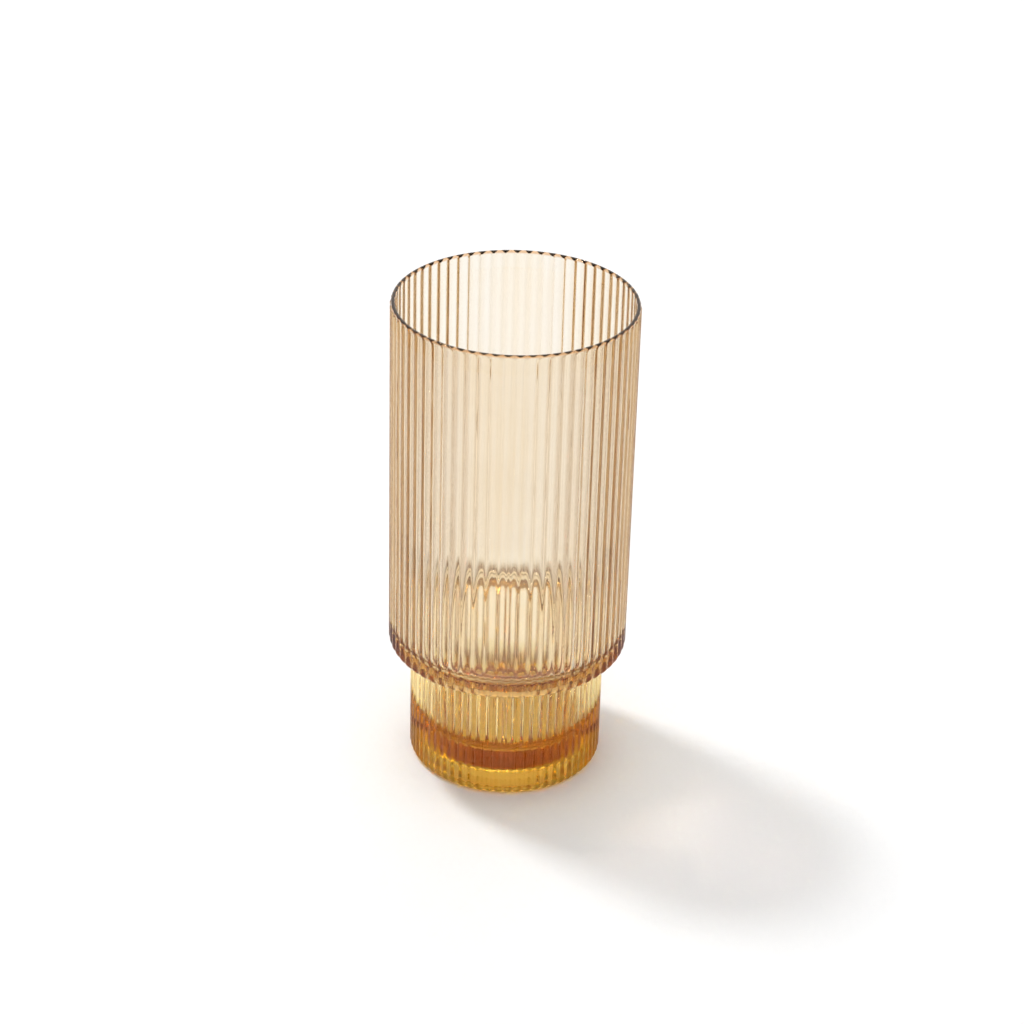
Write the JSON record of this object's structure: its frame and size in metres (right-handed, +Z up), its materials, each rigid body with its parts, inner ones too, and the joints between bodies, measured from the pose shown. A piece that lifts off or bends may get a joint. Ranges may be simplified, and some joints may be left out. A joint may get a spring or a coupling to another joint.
{
  "type": "glass vase",
  "caption": "Tall stepped vase in clear amber glass: softly reeded all round, a wide thin-walled upper cylinder stepping in to a narrower cup on a heavy base with a hollow underside.",
  "frame": {"origin": "centre of the foot, on the plane of the surface that the vase stands on", "axes": "+Z up along the vase's axis of symmetry, out of its mouth; +X passes through a reed crest"},
  "size_m": [0.0764, 0.0764, 0.16],
  "materials": {
    "amber_glass": "fire-polished clear glass with an amber body tint that deepens where the glass is thick"
  },
  "bodies": {
    "root": {"rim_lip": "amber_glass", "upper_wall": "amber_glass", "shoulder_step": "amber_glass", "lower_wall": "amber_glass", "base_sham": "amber_glass", "foot": "amber_glass"}
  },
  "joints": []
}
